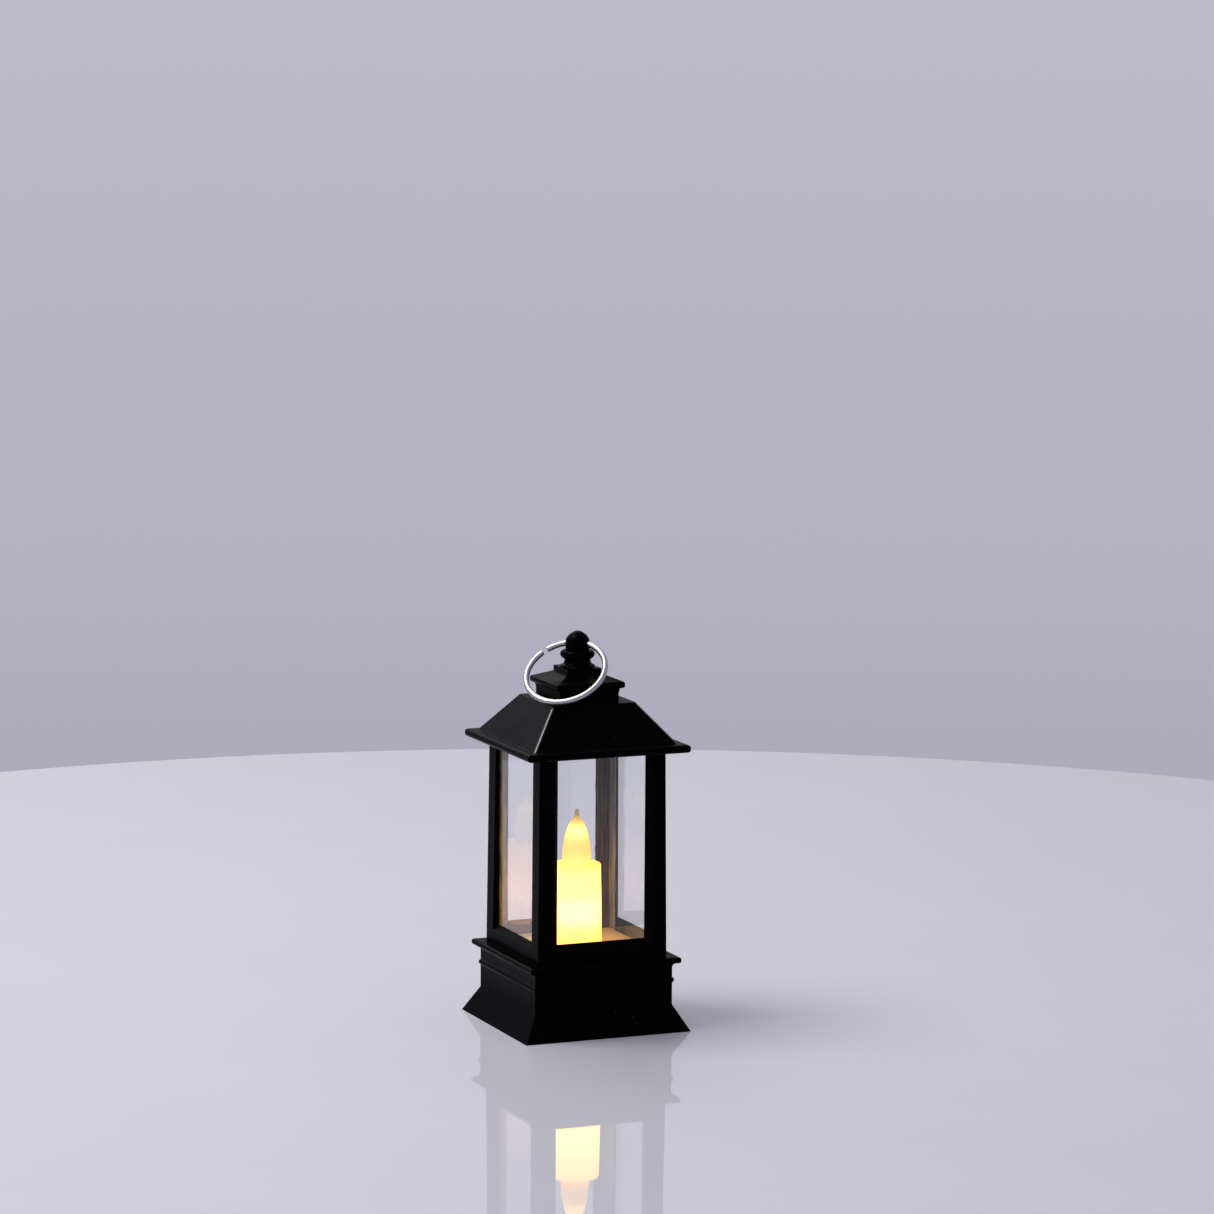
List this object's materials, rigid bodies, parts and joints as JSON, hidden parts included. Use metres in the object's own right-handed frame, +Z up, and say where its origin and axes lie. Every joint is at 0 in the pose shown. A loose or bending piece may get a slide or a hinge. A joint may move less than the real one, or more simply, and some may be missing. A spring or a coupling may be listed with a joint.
{
  "type": "candle lantern",
  "caption": "Miniature square lantern with windows, a hipped roof, a finial with a loose hanging ring, and a battery candle on a pedestal with a switch and a battery door.",
  "frame": {"origin": "middle of the foot's underside, at the base of the bounding box", "axes": "+Z up along the lantern's height, -Y out of its front window, +X to the right seen from the front"},
  "size_m": [0.055, 0.055, 0.1235],
  "materials": {
    "black_plastic": "glossy black injection-moulded plastic",
    "cover_black": "fine-grained black plastic",
    "clear_pane": "clear polished plastic sheet",
    "candle_ivory": "satin translucent ivory, lit from inside",
    "floor_ivory": "satin ivory plastic",
    "flame_amber": "translucent flame-shaped plastic, lit from inside",
    "lamp_epoxy": "clear epoxy lamp",
    "ring_metal": "bright nickel-plated wire",
    "tinned_metal": "tinned metal",
    "cell_steel": "satin steel can",
    "screw_steel": "zinc-plated steel",
    "switch_steel": "pressed steel shell",
    "knob_black": "matte black plastic",
    "board_green": "green solder mask",
    "chip_black": "black epoxy blob",
    "resistor_tan": "tan lacquer",
    "wire_red": "soft wire insulation",
    "wire_black": "soft wire insulation",
    "wire_white": "soft wire insulation"
  },
  "bodies": {
    "case": {"case_frame": "black_plastic", "roof": "black_plastic", "cap_finial": "black_plastic", "front_pane": "clear_pane", "back_pane": "clear_pane", "left_pane": "clear_pane", "right_pane": "clear_pane", "candle_floor": "floor_ivory", "candle_sleeve": "candle_ivory", "flame": "flame_amber", "led_lamp": "lamp_epoxy", "led_legs": "tinned_metal", "circuit_board": "board_green", "flicker_chip": "chip_black", "resistor": "resistor_tan", "button_cell_1": "cell_steel", "button_cell_2": "cell_steel", "button_cell_3": "cell_steel", "positive_contact": "tinned_metal", "negative_contact": "tinned_metal", "red_wire": "wire_red", "black_wire": "wire_black", "white_wire": "wire_white", "switch_case": "switch_steel", "bottom_cover": "cover_black", "cover_screws": "screw_steel"},
    "ring": {"hanging_ring": "ring_metal"},
    "knob": {"switch_knob": "knob_black"},
    "door": {"battery_door": "cover_black"},
    "screws": {"door_screws": "screw_steel"}
  },
  "joints": [
    {"name": "ring_swing", "type": "hinge", "parent": "case", "child": "ring", "pos_m": [0, 0, 0.11955], "axis": [-0.7071, 0.7071, 0], "range_deg": [0, 255]},
    {"name": "switch_slide", "type": "slide", "parent": "case", "child": "knob", "axis": [1, 0, 0], "range_m": [0, 0.003]},
    {"name": "door_lift", "type": "slide", "parent": "case", "child": "door", "axis": [0, 0, -1], "range_m": [0, 0.012]},
    {"name": "door_screws_out", "type": "slide", "parent": "door", "child": "screws", "axis": [0, 0, -1], "range_m": [0, 0.0065]}
  ]
}
